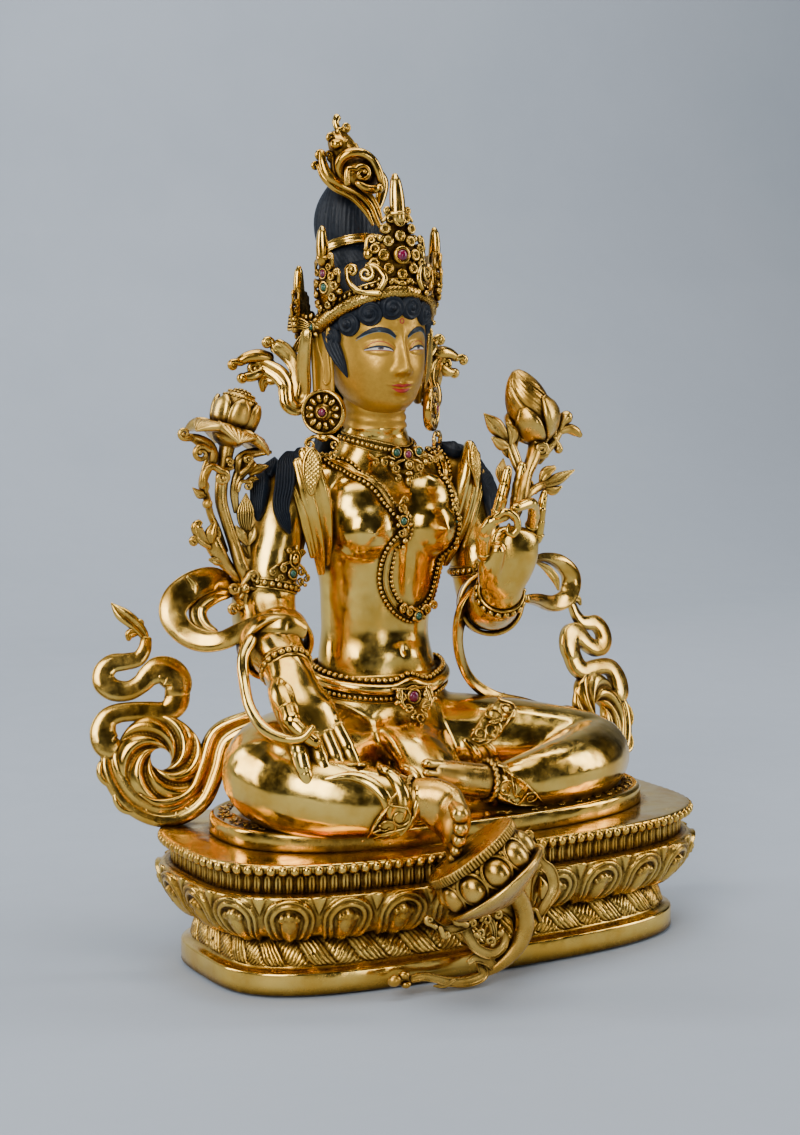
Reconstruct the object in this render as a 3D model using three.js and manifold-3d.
// A seated Tara in gilt copper on a lotus plinth, in millimetres.
// +Z is up, the figure faces -Y, and the origin is the centre of the plinth's underside.
import * as THREE from "three";
import { mergeVertices } from "three/addons/utils/BufferGeometryUtils.js";
import Module from "manifold-3d";

const wasm = await Module();
wasm.setup();

// Driving dimensions of the plinth
const plinthHeight = 50; // underside to the top plate
const plinthLength = 213; // across the bead rim, along X
const plinthDepth = 113; // across the bead rim, along Y
const plinthSquareness = 3.2; // power of the plan's superellipse
const footInset = 7.5; // the foot slab's edge, in from the rim's edge
const footThickness = 8.5;
const waistInset = 14; // the carved waist's edge, in from the rim's edge
const waistHeight = 11;
const beadRadius = 1.9; // the bead row under the top plate
const stamenHeight = 8; // the grooved band under the beads
const stamenInset = 4; // the grooved band's edge, in from the rim's edge
const petalCount = 26;
const petalBulge = 3; // how far a petal's tip stands out past the rim

// Driving dimensions of the figure and of what belongs to it
const figureHeight = 270; // top plate to the tip of the topknot's ornament
const jointGap = 0.3; // clearance between pieces that touch
const smallStone = 1.5; // radius of a set stone
const largeStone = 2.1;
const stoneWall = 1; // metal round a set stone
const stoneDepth = 1.4; // depth of a stone's pocket
const stoneRise = 0.9; // how far a stone's crown stands out of its pocket

// The figure's proportions are shares of its height: one unit is 1/270 of it.
const unit = figureHeight / 270;
const seatZ = plinthHeight + jointGap;

const gilding = { color: 0xd9a441, roughness: 0.22, metalness: 1 };
const redGilding = { color: 0xb9854a, roughness: 0.3, metalness: 1 };
const ruby = { color: 0x7a1635, roughness: 0.15, metalness: 0 };
const emerald = { color: 0x14553a, roughness: 0.15, metalness: 0 };

const v3 = (x, y, z) => new THREE.Vector3(x, y, z);
const up = v3(0, 0, 1);
const front = v3(0, -1, 0);
const { degToRad } = THREE.MathUtils;

// A point of the figure: x and y from the plinth's centre, z above the top plate, in units.
const at = (x, y, z) => v3(x * unit, y * unit, z * unit + seatZ);

// Closed solids

function solidOf(geometry) {
  const bare = geometry.index ? geometry.toNonIndexed() : geometry.clone();
  for (const name of Object.keys(bare.attributes)) {
    if (name !== "position") bare.deleteAttribute(name);
  }
  const merged = mergeVertices(bare, 1e-4);
  const triVerts = new Uint32Array(merged.index.array);
  const vertProperties = merged.attributes.position.array;
  const made = new wasm.Manifold(new wasm.Mesh({ numProp: 3, vertProperties, triVerts }));
  if (made.volume() >= 0) return made;
  for (let i = 0; i < triVerts.length; i += 3) {
    [triVerts[i + 1], triVerts[i + 2]] = [triVerts[i + 2], triVerts[i + 1]];
  }
  return new wasm.Manifold(new wasm.Mesh({ numProp: 3, vertProperties, triVerts }));
}

function geometryOf(solid) {
  const mesh = solid.getMesh();
  const position = new Float32Array(mesh.numVert * 3);
  for (let i = 0; i < mesh.numVert; i += 1) {
    const start = i * mesh.numProp;
    position.set(mesh.vertProperties.subarray(start, start + 3), i * 3);
  }
  const geometry = new THREE.BufferGeometry();
  geometry.setAttribute("position", new THREE.BufferAttribute(position, 3));
  geometry.setIndex(new THREE.BufferAttribute(mesh.triVerts, 1));
  geometry.computeVertexNormals();
  return geometry;
}

const union = (solids) => solids.reduce((a, b) => a.add(b));

// A closed skin over rings of equally many points, with a fan at each end.
function skin(rings) {
  const count = rings[0].length;
  const corners = rings.flat();
  const faces = [];
  for (let r = 0; r + 1 < rings.length; r += 1) {
    for (let i = 0; i < count; i += 1) {
      const next = (i + 1) % count;
      const [a, b] = [r * count + i, r * count + next];
      faces.push(a, b, b + count, a, b + count, a + count);
    }
  }
  for (const ring of [0, rings.length - 1]) {
    corners.push(rings[ring].reduce((sum, p) => sum.add(p), v3(0, 0, 0)).divideScalar(count));
    for (let i = 0; i < count; i += 1) {
      const [a, b] = [ring * count + i, ring * count + ((i + 1) % count)];
      faces.push(corners.length - 1, ...(ring ? [a, b] : [b, a]));
    }
  }
  const geometry = new THREE.BufferGeometry().setFromPoints(corners);
  geometry.setIndex(faces);
  return solidOf(geometry);
}

const circle = (count, turn = 0) =>
  Array.from({ length: count }, (_, i) => ((i + turn) / count) * 2 * Math.PI);

// A limb or ribbon along a curve through points; sizes holds [across, along up] half-sizes there.
// caps says which ends are rounded off, and extra lengthens both ends; four sides give a box
// section of the full size.
function sweep(points, sizes, options = {}) {
  const { sides = 8, steps = points.length * 2 - 2, up: top = up } = options;
  const { caps = [false, false], extra = 0 } = options;
  const curve = new THREE.CatmullRomCurve3(points, false, "centripetal");
  const fill = sides === 4 ? Math.SQRT2 : 1;
  const rings = [];
  const addRing = (share, scale, advance) => {
    const place = Math.min(share, 0.99999) * (points.length - 1);
    const i = Math.floor(place);
    const [across, tall] = [0, 1].map((k) =>
      THREE.MathUtils.lerp(sizes[i][k], sizes[i + 1][k], place - i),
    );
    const tangent = curve.getTangent(share);
    const over = top.clone().addScaledVector(tangent, -top.dot(tangent)).normalize();
    const side = tangent.clone().cross(over);
    const end = share === 0 ? -1 : Number(share === 1);
    const ahead = advance * Math.min(across, tall) + extra * end;
    const middle = curve.getPoint(share).addScaledVector(tangent, ahead);
    rings.push(
      circle(sides, 0.5).map((angle) =>
        middle
          .clone()
          .addScaledVector(side, Math.cos(angle) * across * scale * fill)
          .addScaledVector(over, Math.sin(angle) * tall * scale * fill),
      ),
    );
  };
  if (caps[0]) addRing(0, 0.6, -0.75);
  for (let s = 0; s <= steps; s += 1) addRing(s / steps, 1, 0);
  if (caps[1]) addRing(1, 0.6, 0.75);
  return skin(rings);
}

// An upright whorl about an axis: rings of [radius, height], with lobes round it.
function whorl(place, axis, profile, lobes = 0, depth = 0, sides = lobes * 2) {
  const turn = new THREE.Quaternion().setFromUnitVectors(up, axis.clone().normalize());
  return skin(
    profile.map(([radius, height]) =>
      circle(sides).map((angle) => {
        const reach = radius * (1 + depth * Math.cos(lobes * angle));
        const point = v3(reach * Math.cos(angle), reach * Math.sin(angle), height);
        return point.applyQuaternion(turn).add(place);
      }),
    ),
  );
}

// A flat plate: an outline in the plane through place, across and above, extruded to both sides.
function plate(outline, thickness, place, across, above) {
  const face = new THREE.Shape(outline.map(([x, y]) => new THREE.Vector2(x, y)));
  const geometry = new THREE.ExtrudeGeometry(face, { depth: thickness, bevelEnabled: false });
  const out = across.clone().cross(above);
  geometry.translate(0, 0, -thickness / 2);
  geometry.applyMatrix4(new THREE.Matrix4().makeBasis(across, above, out).setPosition(place));
  return solidOf(geometry);
}

const scaled = (rows, share) => rows.map((row) => row.map((value) => value * share));
const mirrored = (half) => [...half, ...half.map(([x, y]) => [-x, y]).reverse()];

// The figure's own shapers, in units; grow swells a form, to cut its neighbour clear of it.
function shapers(grow) {
  const swollen = (rows) => scaled(rows, unit).map((row) => row.map((value) => value + grow));
  const form = (points, sizes, options) =>
    sweep(points.map((p) => at(...p)), swollen(sizes), { ...options, extra: grow });
  // rings of [x, y, z, half-width, half-depth, how far the front sags]
  const stack = (rows, sides) =>
    skin(
      rows.map(([x, y, z, a, b, sag = 0], i) => {
        const end = (i === 0 ? -grow : 0) + (i === rows.length - 1 ? grow : 0);
        const [wide, deep] = [a * unit + grow, b * unit + grow];
        return circle(sides).map((angle) => {
          const drop = sag * unit * Math.max(0, -Math.sin(angle));
          return at(x, y, z).add(v3(wide * Math.cos(angle), deep * Math.sin(angle), end - drop));
        });
      }),
    );
  const ball = (x, y, z, sizes, sides, rows) => {
    const geometry = new THREE.SphereGeometry(1, sides, rows).rotateX(Math.PI / 2);
    const place = at(x, y, z);
    geometry.scale(...swollen([sizes])[0]).translate(place.x, place.y, place.z);
    return solidOf(geometry);
  };
  return { form, stack, ball };
}

// Plinth

const power = (value, exponent) => Math.sign(value) * Math.abs(value) ** exponent;

function outlinePoint(angle, inset) {
  const a = plinthLength / 2 - inset;
  const b = plinthDepth / 2 - inset;
  const exponent = 2 / plinthSquareness;
  return [a * power(Math.cos(angle), exponent), b * power(Math.sin(angle), exponent)];
}

// Round the edge: each petal takes two samples, its valley and its middle.
const petalSamples = 2;

// Angles that space the petals evenly along the plinth's rim.
function evenAngles(count) {
  const fine = circle(1440);
  const line = fine.map((angle) => v3(...outlinePoint(angle, 0), 0));
  const reach = [0];
  for (let i = 1; i <= line.length; i += 1) {
    reach.push(reach[i - 1] + line[i % line.length].distanceTo(line[i - 1]));
  }
  const whole = reach[fine.length];
  return Array.from({ length: count }, (_, k) => {
    const nearest = reach.findIndex((length) => length >= (k / count) * whole);
    return fine[nearest];
  });
}

const petalFoot = footThickness + waistHeight;
const petalTop = plinthHeight - 2 * beadRadius - stamenHeight;
const rimAngles = evenAngles(petalCount * petalSamples);

function plinthSolid(grow) {
  // rings of [z, inset, how much deeper the valleys lie, how much lower the valleys run]
  const rings = [
    [0, footInset, 0, 0],
    [footThickness, footInset + 0.5, 0, 0],
    [footThickness + 1, waistInset, 0, 0],
    [petalFoot, waistInset, 0, 0],
    [THREE.MathUtils.lerp(petalFoot, petalTop, 0.55), 1, 3.5, 0],
    [petalTop, -petalBulge, 4, 4],
    [petalTop + 1, stamenInset, 0, 2],
    [petalTop + stamenHeight, stamenInset, 0, 0],
    [plinthHeight - beadRadius, 0, 0, 0],
    [plinthHeight, 1.6, 0, 0],
  ];
  return skin(
    rings.map(([z, inset, groove, drop]) =>
      rimAngles.map((angle, i) => {
        const valley = i % petalSamples === 0 ? 1 : 0;
        return v3(...outlinePoint(angle, inset + valley * groove - grow), z - valley * drop);
      }),
    ),
  );
}

// Figure: body and head

const bodyX = -9; // the body stands off the plinth's middle, towards the lowered hand
const bodyY = 28;
const headX = bodyX - 2;
const sidesOf = (make) => [-1, 1].flatMap(make);

const girdleFace = 4; // y of the girdle's front boss

// The long jewelled strap, from one shoulder down to the waist and up to the other
const strapThickness = 2.6;
const strapLine = [
  [-26, 19.5, 135], [-17, 14.5, 124], [-11, 9, 118], [-6, 10.5, 110], [-13.5, 7, 103],
  [-14.5, 12, 90.5], [-9.8, 11.5, 80.5], [0, 13, 76], [10, 17, 83], [12.5, 17, 97],
  [16, 12, 112], [17.5, 19, 134],
];

function bodyForms({ stack, ball, form }) {
  const torso = stack(
    [
      [bodyX + 2, bodyY - 5, 2, 38, 25],
      [bodyX + 1, bodyY - 3, 34, 33, 22],
      [bodyX, bodyY - 0.5, 46, 26.5, 19.5, 4],
      // the girdle: a round wire between two rows of beads
      [bodyX, bodyY - 0.5, 49, 30, 22.5, 5],
      [bodyX, bodyY - 0.5, 54, 30, 22.5, 5],
      [bodyX, bodyY - 0.5, 58.5, 25.6, 19.5, 3],
      [bodyX, bodyY, 61, 22.6, 16.6, 2],
      [bodyX, bodyY, 68, 22, 16],
      [bodyX + 1, bodyY, 84, 23.5, 17],
      [bodyX + 1, bodyY + 1, 102, 27, 18.5],
      [bodyX + 1, bodyY + 2, 119, 31, 18],
      [bodyX + 1, bodyY + 3, 131, 34, 15.5],
      [bodyX, bodyY + 2, 139, 26, 13],
      // the short necklace
      [bodyX, bodyY + 1, 145, 19, 15.5, 3],
      [headX + 1, bodyY, 149, 16.5, 14.5, 3],
      [headX + 1, bodyY - 1, 152, 13, 12],
      [headX, bodyY - 2, 166, 12.5, 12],
    ],
    10,
  );
  const breasts = sidesOf((side) =>
    ball(bodyX + 3.5 + side * 12.5, bodyY - 15, 110, [11.5, 11, 12], 7, 4),
  );
  const apron = form(
    [[bodyX + 3, 10, 44], [bodyX + 2, -4, 32], [bodyX, -24, 22]],
    [[16, 6], [15, 8], [8, 6]],
    { sides: 6, steps: 2, up: front },
  );
  const strap = form(
    strapLine,
    strapLine.map(() => [2.2, strapThickness / 2]),
    { sides: 4, steps: 12, up: front },
  );
  const boss = form(
    [[bodyX + 2.5, 8, 46], [bodyX + 2.5, girdleFace, 46]],
    [[6, 7], [6, 7]],
    { sides: 6, steps: 1 },
  );
  return [torso, ...breasts, apron, strap, boss];
}

function headForms({ stack, form }) {
  const skull = stack(
    [
      [headX, bodyY - 8, 156, 7, 8.5],
      [headX, bodyY - 6, 160, 12.5, 15.5],
      [headX, bodyY - 4, 168, 16.6, 20.4],
      [headX, bodyY - 2, 181, 18.8, 22.4],
      [headX, bodyY - 1, 193, 19.2, 23],
      [headX, bodyY + 1, 206, 16.8, 20.5],
      [headX, bodyY + 4, 213, 9, 11],
    ],
    10,
  );
  const nose = form(
    [[headX, bodyY - 22.6, 184], [headX, bodyY - 26.6, 172]],
    [[1.4, 1.6], [3, 2.6]],
    { sides: 4, steps: 1, up: front },
  );
  return [skull, nose];
}

// Hair: a cap with a scalloped brow, the topknot, a fall down the back and locks on the shoulders.
const hairCurls = 8; // round the whole hairline

function hairForms({ stack, form }, grow) {
  const turns = circle(hairCurls * 2);
  // a turn of 0 is the brow; the cap's edge drops past the temples to the nape
  const lower = (turn) => {
    const back = (1 - Math.cos(turn)) / 2;
    const scallop = 1.3 * (1 + Math.cos(turn * hairCurls));
    return 198.8 - scallop - 32 * Math.min(1, back * 1.6) - grow;
  };
  const place = (turn, wide, deep, z) => {
    const [across, ahead] = [wide * unit + grow, deep * unit + grow];
    return at(headX, bodyY - 1, z).add(v3(Math.sin(turn) * across, -Math.cos(turn) * ahead, 0));
  };
  const cap = skin([
    turns.map((turn) => place(turn, 15, 18, lower(turn) + 1)),
    turns.map((turn) => place(turn, 20, 24, lower(turn))),
    turns.map((turn) => place(turn, 20.4, 24.4, 203)),
    turns.map((turn) => place(turn, 12, 14, 212 + grow)),
  ]);
  const topknot = stack(
    [
      [headX, bodyY + 10, 206, 13.5, 13],
      [headX - 2, bodyY + 15, 224, 13.5, 13],
      [headX - 3, bodyY + 16, 235, 12, 11.5],
      [headX - 4, bodyY + 17, 245, 6, 6],
    ],
    8,
  );
  const fall = form(
    [[headX, bodyY + 20, 174], [bodyX, bodyY + 17, 150], [bodyX, bodyY + 17, 130]],
    [[14, 6], [12, 5], [19, 3]],
    { sides: 4, steps: 2, up: v3(0, 1, 0) },
  );
  const locks = sidesOf((side) =>
    [[42, 25, 127, 43, 22, 109], [51, 33, 117, 52, 30, 99]].map(([x1, y1, z1, x2, y2, z2]) =>
      form(
        [[bodyX + side * 23, 43, 138], [bodyX + side * (x1 - 10), y1 + 7, z1 + 12],
          [bodyX + side * x1, y1, z1], [bodyX + side * x2, y2, z2]],
        [[5, 3], [6, 3.2], [5, 3], [2, 1.6]],
        { steps: 3, sides: 4, up: front },
      ),
    ),
  );
  return [cap, topknot, fall, ...locks];
}

// Figure: arms and hands

function fingers(form, rows, thickness) {
  return rows.map((row) => {
    const sizes = row.map((_, i) => Array(2).fill(thickness * 0.84 * (1 - 0.17 * i)));
    return form(row, sizes, { sides: 4, steps: row.length - 1, up: front });
  });
}

// An arm from the shoulder to the knuckles, with its armlet and bracelet as swellings.
function armForms({ form }) {
  const loweredArm = form(
    [[-39, 32, 130], [-50, 31, 119], [-56, 28, 100], [-58.4, 27, 94], [-59, 26.6, 91],
      [-62, 21, 76], [-65, 8, 69.5], [-66.4, -3, 65], [-67, -6, 64], [-67.6, -14, 59],
      [-67, -24, 50], [-65, -29, 42]],
    [[11, 10], [12.5, 12.5], [11.6, 12], [14, 14], [11.6, 12], [11.5, 12.5], [10.5, 11],
      [12, 12], [8, 8], [8, 6], [10, 4.6], [9.5, 3.6]],
    { sides: 6, steps: 12, up: v3(0, -1, 0.4) },
  );
  const raisedUpper = form(
    [[22, 32, 130], [32, 30, 119], [35.6, 26, 100], [35.6, 24.6, 95], [35.2, 24, 92], [33, 15, 78]],
    [[11, 10], [12, 12], [10.8, 11], [13, 13], [10.6, 11], [10, 10]],
    { sides: 6, steps: 5, up: front, caps: [false, true] },
  );
  const raisedFore = form(
    [[33, 16, 79], [28, 2, 80], [23.3, -12, 84.6], [22.4, -15, 86], [21, -20, 92],
      [21, -24, 101], [23, -25, 110]],
    [[10.5, 10.5], [9.6, 9.6], [10.8, 10.8], [7, 7], [8.4, 5], [9.8, 4.4], [9.6, 3.4]],
    { sides: 6, steps: 7, up: v3(0, -1, -0.4) },
  );
  const loweredFingers = fingers(
    form,
    [
      [[-57.5, -28, 46], [-54.5, -35, 34], [-52.5, -38, 24]],
      [[-62, -29, 44], [-60, -36, 31], [-57.5, -40, 20]],
      [[-67, -29, 43], [-66.5, -37, 31], [-63.5, -40, 21]],
      [[-71.5, -27, 44], [-73.5, -36, 36], [-73, -38, 27]],
      [[-72, -17, 57], [-76.5, -29, 50], [-69, -35, 41]],
    ],
    3,
  );
  const raisedFingers = fingers(
    form,
    [
      [[15, -25, 107], [13.5, -26, 119], [15, -26, 133]],
      [[20.5, -26, 108], [20.5, -27, 122], [22, -27, 135]],
      [[26, -25, 108], [26, -34, 117], [19, -38, 113]],
      [[31, -25, 106], [33, -26, 116], [34.5, -26, 126]],
      [[15, -22, 94], [9, -31, 104], [18, -39, 112]],
    ],
    2.9,
  );
  return [loweredArm, raisedUpper, raisedFore, ...loweredFingers, ...raisedFingers];
}

// Figure: legs, feet and robe

const hemRows = [
  [0, 90, 46],
  [5, 90, 46],
  [7, 88, 44.5],
];

function legForms({ form, ball }, grow) {
  const legs = [
    form([[14, 18, 21], [44, 8, 21], [68, -2, 18]], [[21, 19], [19, 17], [16, 15]],
      { steps: 2, caps: [false, true] }),
    form([[70, -6, 16], [48, -24, 16], [22, -31, 16], [4, -31, 18], [-14, -28, 21]],
      [[15, 15], [13, 14], [9.5, 11], [5.6, 6.4], [6, 4]], { steps: 5, sides: 7 }),
    form([[-32, 18, 21], [-54, 9, 25], [-72, -4, 25]], [[21, 19], [20, 19], [17.5, 18]],
      { steps: 2, caps: [false, true] }),
    form([[-73, -8, 23], [-66, -30, 20], [-50, -43, 18], [-40, -49, 18]],
      [[17, 18], [16, 16], [12, 12.5], [10, 10.5]], { steps: 4, sides: 7 }),
  ];
  const foot = form([[-42, -47, 18], [-32, -55, 19], [-28, -60, 15], [-29, -68, 10.6]],
    [[6.4, 6.8], [6.5, 8], [6, 10.5], [4.6, 12]], { sides: 6, steps: 3 });
  const toes = [0, 1, 2, 3, 4].map((k) =>
    ball(-31 - 0.3 * k, -72.4 + 1.9 * k, 18.8 - 4.1 * k, [2.8, 5.4, 3.2 - 0.3 * k], 4, 3),
  );
  const hem = skin(
    hemRows.map(([z, a, b]) =>
      circle(20).map((angle) => {
        const [c, s] = [power(Math.cos(angle), 0.8), power(Math.sin(angle), 0.8)];
        return at(0, 1, z).add(v3((a * unit + grow) * c, (b * unit + grow) * s, z ? grow : -grow));
      }),
    ),
  );
  const folds = [
    [[-20, -8, 31], [-36, -30, 27], [-46, -48, 16], [-52, -55, 6]],
    [[-15, -12, 28], [-29, -36, 26], [-38, -54, 17], [-44, -60, 6]],
    [[10, -24, 26], [17, -39, 24], [30, -45, 12], [54, -41, 5]],
  ].map((row) => form(row, row.map(() => [2.6, 2.2]), { sides: 4, steps: 3, up: front }));
  return [...legs, foot, ...toes, hem, ...folds];
}

// Figure: ears, earrings and scarf

const earDiscOut = (side) => v3(side, -0.9, 0).normalize();
const earDiscFace = (side) => at(headX + side * 24.7, 22, 156);

function earForms({ form }, grow) {
  return sidesOf((side) => {
    const x = (share) => headX + side * share;
    const disc = [-3.2, 0].map((height) => [8.8 * unit + grow, height * unit]);
    return [
      form([[x(18), 30, 191], [x(21), 31, 182], [x(22), 26, 160]], [[3.4, 2], [4.6, 2], [4, 2]],
        { steps: 2, sides: 4, up: v3(side, 0, 0) }),
      whorl(earDiscFace(side), earDiscOut(side), disc, 0, 0, 9),
      form([[x(22), 24, 150], [x(26), 22, 141], [x(30), 20, 131]], [[4, 3], [4.5, 2.5], [2, 1.6]],
        { steps: 2, sides: 4, up: front }),
      // the scrolled ribbon that stands out behind the ear, swept back
      form([[x(21), 30, 187], [x(22), 32, 172], [x(24), 33, 160], [x(29), 36, 157], [x(32), 38, 167],
        [x(37), 42, 176], [x(44), 47, 171]],
      [[2, 2.4], [2, 2.4], [2.2, 2.8], [2.2, 3.4], [2.2, 4.4], [2, 4.8], [1.4, 2.6]],
      { steps: 5, sides: 4, up: v3(0.6, side * 0.8, 0) }),
    ];
  });
}

function scarfForms({ form }) {
  const flat = { up: v3(0, -1, 0.3), sides: 4 };
  return [
    form([[-64, 27, 92], [-80, 28, 96], [-95, 27, 89], [-95, 25, 77], [-84, 21, 70],
      [-72, 14, 71], [-62, 6, 77], [-53, 4, 71]],
      [[4.6, 2], [6, 2], [8, 2], [7, 2], [4.4, 2], [4.2, 2], [3.6, 2], [2, 1.6]], { ...flat, steps: 9 }),
    form([[36, 16, 84], [47, 21, 93], [59, 23, 94], [66, 23, 86], [60, 20, 77],
      [48, 16, 76], [35, 10, 80]],
      [[4, 2], [5, 2], [6, 2], [6, 2], [5, 2], [4, 2], [4, 2]], { ...flat, steps: 7 }),
    form([[24, 6, 84], [16, 8, 76], [18, 10, 60], [30, 13, 45], [52, 14, 36]],
      [[2, 4.5], [1.8, 4], [1.8, 3], [1.8, 3], [1.8, 2.4]],
      { steps: 5, sides: 4, up: v3(-1, -0.4, 0) }),
  ];
}

function figureSolid(grow) {
  const shape = shapers(grow);
  return union([
    ...bodyForms(shape),
    ...headForms(shape),
    ...hairForms(shape, grow),
    ...armForms(shape),
    ...legForms(shape, grow),
    ...earForms(shape, grow),
    ...scarfForms(shape),
  ]);
}

// Topknot ornament: a scrolled shell with a beak in front, a flame above and curls behind

function topknotOrnament({ form, ball }) {
  const x = headX - 4;
  const y = bodyY + 12;
  return union([
    ball(x + 2, y - 3, 241, [8.5, 11, 9.5], 7, 4),
    form([[x + 2, y - 10, 243], [x + 1, y - 21, 238]], [[5, 5], [2.6, 2.4]], { sides: 4, steps: 1 }),
    form([[x + 4, y - 11, 219], [x - 3, y - 9, 227], [x - 9, y - 2, 234], [x - 9, y + 6, 243],
      [x - 6, y + 8, 248]],
      [[1.6, 2.4], [2, 2.8], [2, 2.8], [2.4, 3], [1.8, 2]],
      { sides: 4, steps: 4, up: v3(-1, -0.3, 0) }),
    form([[x + 6, y - 10, 221], [x + 11, y - 4, 229], [x + 11, y + 3, 238], [x + 6, y + 8, 247]],
      [[1.6, 2.4], [2, 2.8], [2, 2.8], [1.8, 2]], { sides: 4, steps: 3, up: v3(1, -0.3, 0) }),
    form([[x, y + 1, 244], [x, y + 3, 254], [x - 1, y + 4, 261], [x - 1, y + 8, 270]],
      [[6, 6], [6.4, 5], [4, 3.4], [1.2, 1.2]], { sides: 6, steps: 4, up: front }),
  ]);
}

// Crown

const crownBrow = 203; // height of the crown's band at the brow
const crownDrop = 13; // how much lower the band runs at the ears
const crownReach = 24;

function crownPoint(angle, reach, height) {
  const turned = degToRad(angle);
  const drop = crownDrop * (1 - Math.cos(turned));
  const [across, ahead] = [Math.sin(turned) * reach * 0.96, Math.cos(turned) * reach];
  return at(headX + across, bodyY - ahead, height - drop);
}

function crownBand() {
  const points = [-132, -88, -44, 0, 44, 88, 132].map((angle) =>
    crownPoint(angle, crownReach - 1.5, crownBrow),
  );
  return sweep(points, scaled(points.map(() => [2.8, 3.8]), unit), { sides: 4, steps: 9 });
}

// Half the outline of a crown leaf: a pile of bosses, narrowing to the root of a spike.
const leafHalf = [[11, 0], [14.2, 4.5], [9.4, 11], [8.8, 15], [5.2, 18], [3, 24]];
const leafThickness = 4.4;

// One crown leaf and its spike: size is a share of the front leaf, rise lifts it over the band,
// and lean is how far its top stands outwards.
function crownLeaf({ angle, size, rise, reach, lean }) {
  const turned = degToRad(angle);
  const across = v3(Math.cos(turned), Math.sin(turned), 0);
  const out = v3(Math.sin(turned), -Math.cos(turned), 0);
  const above = v3(0, 0, 1).addScaledVector(out, lean).normalize();
  const foot = crownPoint(angle, reach, crownBrow + rise);
  const share = size * unit;
  const lift = (height) => foot.clone().addScaledVector(above, height * share);
  const faceAt = (height) => lift(height).addScaledVector(out, (leafThickness / 2) * share);
  const solid = union([
    plate(scaled(mirrored(leafHalf), share), leafThickness * share, foot, across, above),
    sweep([lift(22), lift(30), lift(43)], scaled([[2.2, 2.2], [2.7, 2.5], [0.9, 0.9]], share), {
      sides: 4,
      steps: 2,
      up: out,
    }),
  ]);
  return { solid, out, faceAt };
}

const frontLeaf = crownLeaf({ angle: 0, size: 1, rise: 1, reach: crownReach, lean: -0.12 });
const sideLeaf = (side) =>
  crownLeaf({ angle: side * 76, size: 0.7, rise: 6, reach: crownReach, lean: 0.08 });
const rearLeaf = (side) =>
  crownLeaf({ angle: side * 112, size: 0.66, rise: 1, reach: crownReach + 4, lean: 0.08 });

// The rosette over each ear, with its pleated bow behind.
const bowAngle = 97;

function crownBow(side) {
  const middle = crownPoint(side * bowAngle, crownReach + 1.5, crownBrow);
  const away = (x, y, z) => middle.clone().add(v3(side * x, y, z).multiplyScalar(unit));
  const bow = sweep(
    [middle, away(5, 6, 0), away(9, 12, -2)],
    scaled([[2.6, 3], [2, 5.5], [1.6, 8]], unit),
    { sides: 5, steps: 2, up: v3(side * 0.3, -0.3, 1) },
  );
  const out = v3(side, -0.3, 0).normalize();
  const face = middle.clone().addScaledVector(out, 1.2 * unit);
  const button = whorl(face, out, scaled([[4.4, -4], [4.4, 0]], unit), 0, 0, 8);
  return { solid: union([button, bow]), out, face };
}

// Lotus sprays

// A stalk that ends in a three-lobed leaf.
function sprig(form, points, thickness, lobe) {
  const [before, tip] = points.slice(-2).map((p) => at(...p));
  const ahead = tip.clone().sub(before).normalize();
  const across = front.clone().cross(ahead).normalize();
  const leaf = [[0.25, -0.3], [1, 0.35], [1, 0.9], [0.42, 0.95], [0.3, 1.6]];
  return union([
    form(points, points.map((_, i) => Array(2).fill(thickness * 0.84 * (1 - 0.1 * i))), {
      sides: 4,
      steps: points.length - 1,
      up: front,
    }),
    plate(scaled(mirrored(leaf), lobe * unit), 3 * unit, tip, across, ahead),
  ]);
}

// [radius, height] up the open flower: drooping petals, a cup of upright ones, the pod
const openFlower = [[3, -3], [15.5, -1], [16, 0.6], [8, 4], [9, 12], [6.6, 16], [2, 18]];

function openSpray({ form }) {
  const middle = at(-74, 26, 147);
  const lean = v3(0.3, 0, 1);
  return union([
    form([[-72, 22, 78], [-69, 26, 94], [-70, 26, 106], [-75, 26, 120], [-76, 26, 132],
      [-73, 26, 150]],
      [[2.4, 2.4], [2.8, 2.8], [2.8, 2.8], [2.6, 2.6], [2.4, 2.4], [2.8, 2.8]],
      { sides: 6, steps: 6, up: front }),
    whorl(middle, lean, scaled(openFlower, unit), 5, 0.1),
    sprig(form, [[-70, 26, 94], [-76, 26, 103], [-82, 26, 110]], 2.6, 5),
    sprig(form, [[-71, 26, 104], [-81, 26, 118], [-83, 26, 132], [-89, 26, 145]], 2.6, 4),
    sprig(form, [[-70, 26, 98], [-66, 26, 106], [-67, 26, 115]], 2.6, 5),
    sprig(form, [[-74, 26, 116], [-69, 26, 128], [-63, 26, 137]], 2.6, 4.4),
  ]);
}

function budSpray({ form }) {
  const lean = v3(-0.3, 0, 1);
  const bud = scaled([[3, -3], [6.4, 1], [8.6, 7], [8.4, 14], [5.4, 21], [1.4, 26.5]], unit);
  return union([
    form([[25, -37, 107], [27, -30, 114], [31, -20, 126], [35, -18, 138], [36, -18, 150]],
      [[2, 2], [2.6, 2.6], [3, 3], [3, 3], [3.4, 3.4]], { sides: 6, steps: 5, up: front }),
    whorl(at(36.5, -18, 149), lean, bud, 5, 0.06),
    sprig(form, [[31, -20, 124], [24, -18, 137], [18, -18, 149]], 2.6, 4.6),
    sprig(form, [[33, -19, 130], [42, -18, 138], [49, -18, 148]], 2.6, 4.4),
    sprig(form, [[32, -20, 124], [39, -18, 128], [47, -18, 132]], 2.6, 4.4),
  ]);
}

// Lower scarf ends: each leaves a hip for a pinwheel of folds, with a winding tail above

const scarfSweep = degToRad(17); // how far the plane of a scarf end is swept back
const scarfLean = 0.25; // and how much it leans back as it rises

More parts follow.
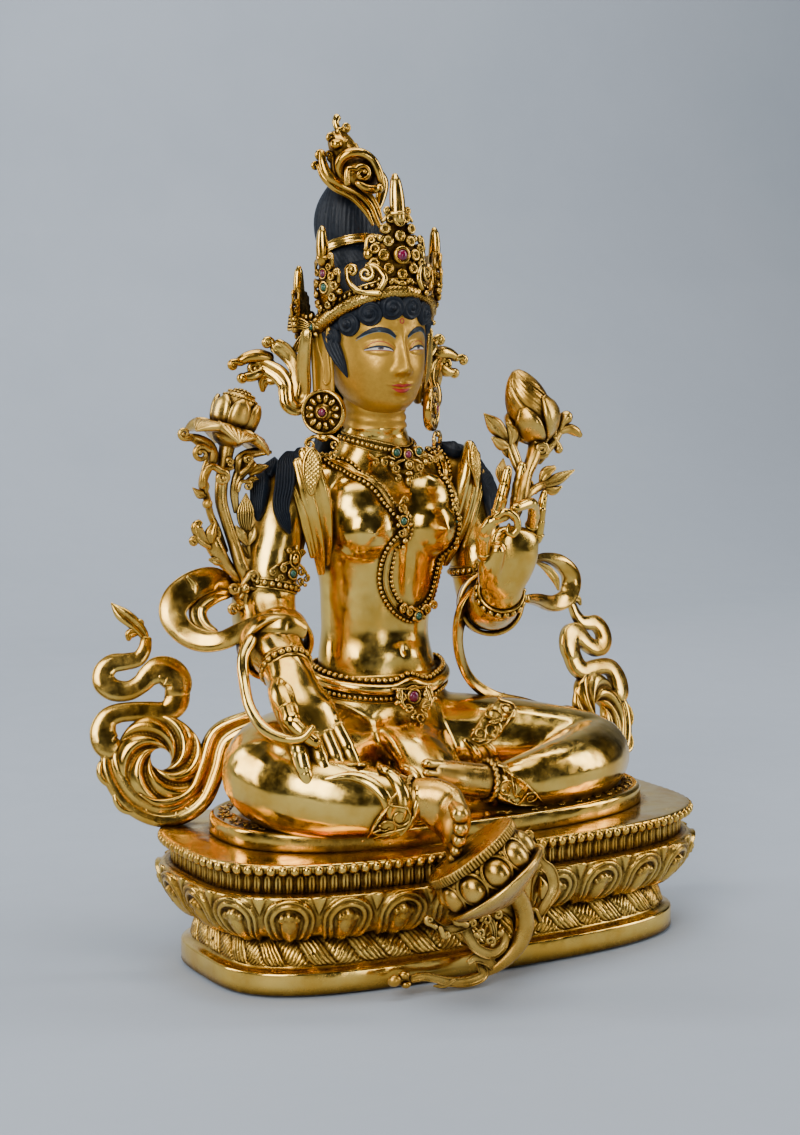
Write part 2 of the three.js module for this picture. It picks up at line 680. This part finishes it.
const arc = (middle, radius, from, to, count) =>
  Array.from({ length: count }, (_, i) => {
    const angle = degToRad(THREE.MathUtils.lerp(from, to, i / (count - 1)));
    return [middle[0] + radius * Math.cos(angle), middle[1] + radius * Math.sin(angle)];
  });

// side is -1 for the figure's right. The pinwheel's middle lies inset from the plinth's end and
// from its back. hip is where the ribbon leaves the figure, rise how high above the middle it
// starts to fall, breadth narrows the whole end, and lean slants it as it rises.
function scarfEnd(side, { inset, height, hip, rise, breadth, lean }) {
  const place = ([s, h]) => {
    const reach = (s * breadth + lean * h) * unit;
    const x = plinthLength / 2 - inset[0] + reach * Math.cos(scarfSweep);
    const y = plinthDepth / 2 - inset[1] + reach * Math.sin(scarfSweep) + scarfLean * h * unit;
    return v3(side * x, y, (height + h) * unit + seatZ);
  };
  const face = v3(side * Math.sin(scarfSweep), -Math.cos(scarfSweep), scarfLean);
  const ribbon = (points, sizes, steps) =>
    sweep(points, scaled(sizes, unit), { sides: 4, steps, up: face });
  const arms = [0, 1, 2].map((k) => {
    const line = [0, 1, 2, 3].map((i) => {
      const angle = degToRad(120 * k - 250 + 50 * i);
      const radius = 8 + 1.5 * i;
      return [radius * Math.cos(angle), radius * Math.sin(angle)];
    });
    return ribbon(line.map(place), [[3.4, 3], [4.6, 3.4], [4.8, 3.4], [3, 2.4]], 3);
  });
  const root = [[-24, rise], [-18.5, -5], [-12.5, -15.5]];
  const sweepRound = arc([1.5, 0], 19.2, -95, 15, 4);
  const tail = [
    ...arc([13, 7.5], 9.2, 20, 100, 2),
    ...arc([-0.5, 26.5], 7.2, -75, -270, 4),
    ...arc([12.3, 31.8], 5.6, -125, 115, 4),
    [4.4, 41.5],
    [5.9, 48.4],
    [9.9, 54.2],
    [12.6, 57.5],
  ];
  const line = [at(...hip), ...[...root, ...sweepRound, ...tail].map(place)];
  const halfWidths = [
    4.4, 5.8, 5.8, 5.2, 4.2, 4.4, 4.6, 4.2, 4.4, 3.8, 3.4, 4.8, 4.8, 4, 3.6, 3.8, 3.8, 3, 4.2, 3.6,
    2.4, 1.2,
  ];
  const sizes = line.map((_, i) => [halfWidths[i], 2.8 - 0.06 * i]);
  return union([...arms, ribbon(line, sizes, line.length - 3)]);
}

const rightEnd = {
  inset: [9, 18],
  height: 24.4,
  hip: [-62, 27.6, 38.4],
  rise: 7,
  breadth: 1,
  lean: 0,
};
const leftEnd = {
  inset: [0.3, 15.4],
  height: 23.5,
  hip: [76.5, 32, 23.5],
  rise: 0,
  breadth: 0.84,
  lean: -0.2,
};

// Lotus under the lowered foot: a tilted flower on a stem that springs from the plinth's foot

const treadAxis = v3(-0.5, 0.3, 0.78).normalize();
const treadProfile = [
  [3, -15], [13, -11.5], [20.6, -7], [17, -4], [20, 1.6], [17, 6.4], [18.6, 6.6], [18.6, 9.5],
];

function footLotusSolid() {
  const tread = at(-22, -76, -3);
  const scroll = (points, sizes, steps) =>
    sweep(points, scaled(sizes, unit * 0.8), { sides: 4, steps, up: front });
  // a point before the plinth's front rim, its height given on a plinth 50 high
  const frontal = (x, y, z) => v3(x * unit, y * unit - plinthDepth / 2, (z / 50) * plinthHeight);
  const beside = (x, y, z) => tread.clone().add(v3(x, y, z).multiplyScalar(unit));
  return union([
    whorl(tread, treadAxis, scaled(treadProfile, unit), 8, 0.045),
    scroll(
      [tread.clone().addScaledVector(treadAxis, -13 * unit), frontal(4, -14, 34),
        frontal(11, -11, 24), frontal(8, -6, 12), frontal(-3, -4, 3.2)],
      [[4.4, 4.4], [4.6, 4.6], [5, 5], [4.6, 4.6], [3, 2.6]],
      8,
    ),
    scroll(
      [frontal(-1, -4, 5), frontal(-14, -7, 7), frontal(-17, -8, 17), frontal(-9, -9, 22),
        frontal(-6, -8, 14)],
      [[3, 2.6], [4, 2.6], [4.4, 2.6], [3.4, 2.4], [3, 2.2]],
      7,
    ),
    scroll(
      [frontal(-15, -8, 18), beside(-3, 9.5, -24.8), beside(-11, 9.5, -21.8), beside(-18, 9.5, -18.6)],
      [[3, 2.4], [4.2, 2.4], [2.6, 2.2], [3, 2.4]],
      5,
    ),
    scroll(
      [frontal(-2, -4, 3.4), frontal(-20, -3, 4), frontal(-36, 0, 2.8), frontal(-51, 1, 4)],
      [[2.4, 2.4], [2.4, 2.2], [2.2, 2], [3.6, 2.6]],
      5,
    ),
    scroll(
      [frontal(9, -8, 16), frontal(17, -6, 32), frontal(21, -6, 44), frontal(13, -6, 54)],
      [[3, 2.4], [5.6, 2.4], [4.6, 2.4], [2.4, 2.2]],
      6,
    ),
  ]);
}

// Set stones: each lies in a pocket, which on the body is in a raised collar

const stoneSides = 6;
const collarRoot = 2.2; // how far a collar reaches into the surface it stands on

function setting([name, host, look, radius, place, out, raised = true]) {
  const prism = (rings) => whorl(place, out, rings, 0, 0, stoneSides);
  const floor = raised ? 0 : -stoneDepth;
  const mouth = floor + stoneDepth;
  const pocketRadius = radius + jointGap;
  return {
    name,
    host,
    look,
    collar: prism([[pocketRadius + stoneWall, -collarRoot], [pocketRadius + stoneWall, mouth]]),
    pocket: prism([[pocketRadius, floor], [pocketRadius, mouth + stoneRise + jointGap]]),
    stone: prism([[radius, floor + jointGap], [radius * 0.55, mouth + stoneRise]]),
  };
}

const strapFace = ([x, y, z]) => at(x, y - strapThickness / 2, z);
const nearFront = (x) => v3(x, -1, 0).normalize();
const wristOut = v3(0.2, -0.74, 0.64).normalize();

const settings = [
  ["crown_front_ruby", "crown", ruby, largeStone, frontLeaf.faceAt(12), frontLeaf.out, false],
  ...sidesOf((side) => {
    const hand = side < 0 ? "right" : "left";
    const [leaf, rear, bow] = [sideLeaf(side), rearLeaf(side), crownBow(side)];
    return [
      [`${hand}_crown_emerald`, "crown", emerald, smallStone, leaf.faceAt(6.5), leaf.out, false],
      [`${hand}_crown_ruby`, "crown", ruby, smallStone, leaf.faceAt(14), leaf.out, false],
      [`${hand}_rear_crown_ruby`, "crown", ruby, smallStone, rear.faceAt(8), rear.out, false],
      [`${hand}_bow_emerald`, "crown", emerald, smallStone, bow.face, bow.out, false],
      [`${hand}_earring_ruby`, "figure", ruby, smallStone, earDiscFace(side), earDiscOut(side)],
    ];
  }),
  ["necklace_right_emerald", "figure", emerald, smallStone, at(-7.4, 15.8, 140), nearFront(0)],
  ["necklace_middle_ruby", "figure", ruby, smallStone, at(-2.2, 16, 139), nearFront(0.1)],
  ["necklace_left_emerald", "figure", emerald, smallStone, at(3, 16.8, 140), nearFront(0.2)],
  ["strap_right_emerald", "figure", emerald, smallStone, strapFace([-8.5, 9.7, 114]), nearFront(0.1)],
  ["strap_left_emerald", "figure", emerald, smallStone, strapFace([16, 12, 112]), nearFront(0.4)],
  ["strap_pendant_emerald", "figure", emerald, smallStone, strapFace([0, 13, 76]), nearFront(0.2)],
  ["right_armlet_emerald", "figure", emerald, smallStone, at(-52.6, 15.8, 95.5), nearFront(0.2)],
  ["left_armlet_emerald", "figure", emerald, smallStone, at(35.6, 12.4, 95), nearFront(0)],
  ["right_bracelet_emerald", "figure", emerald, smallStone, at(-66.2, -9.4, 69.6), wristOut],
  ["girdle_ruby", "figure", ruby, largeStone, at(bodyX + 2.5, girdleFace, 46), front],
].map(setting);

// Pieces, each cut clear of the ones it meets

const shape = shapers(0);
const grownFigure = figureSolid(jointGap);
const grownPlinth = plinthSolid(jointGap);
const crownParts = [frontLeaf, ...sidesOf((side) => [sideLeaf(side), rearLeaf(side), crownBow(side)])];
const crown = union([crownBand(), ...crownParts.map(({ solid }) => solid)]);
const clearOfBoth = (solid) => solid.subtract(grownFigure).subtract(grownPlinth);
const withCollars = (name, solid) =>
  union([solid, ...settings.filter(({ host }) => host === name).map(({ collar }) => collar)]);

const pieces = new Map([
  ["plinth", { solid: plinthSolid(0), look: gilding }],
  ["figure", { solid: withCollars("figure", figureSolid(0)), look: gilding }],
  ["crown", { solid: withCollars("crown", crown).subtract(grownFigure), look: gilding }],
  ["topknot_ornament", { solid: topknotOrnament(shape).subtract(grownFigure), look: gilding }],
  ["open_lotus_spray", { solid: openSpray(shape).subtract(grownFigure), look: redGilding }],
  ["bud_lotus_spray", { solid: budSpray(shape).subtract(grownFigure), look: redGilding }],
  ["right_scarf_end", { solid: clearOfBoth(scarfEnd(-1, rightEnd)), look: gilding }],
  ["left_scarf_end", { solid: clearOfBoth(scarfEnd(1, leftEnd)), look: gilding }],
  ["foot_lotus", { solid: clearOfBoth(footLotusSolid()), look: redGilding }],
]);

for (const { name, host, look, pocket, stone } of settings) {
  const held = pieces.get(host);
  held.solid = held.solid.subtract(pocket);
  pieces.set(name, { solid: stone, look });
}

const group = new THREE.Group();
for (const [name, { solid, look }] of pieces) {
  const mesh = new THREE.Mesh(geometryOf(solid), new THREE.MeshStandardMaterial(look));
  mesh.name = name;
  group.add(mesh);
}

export default group;
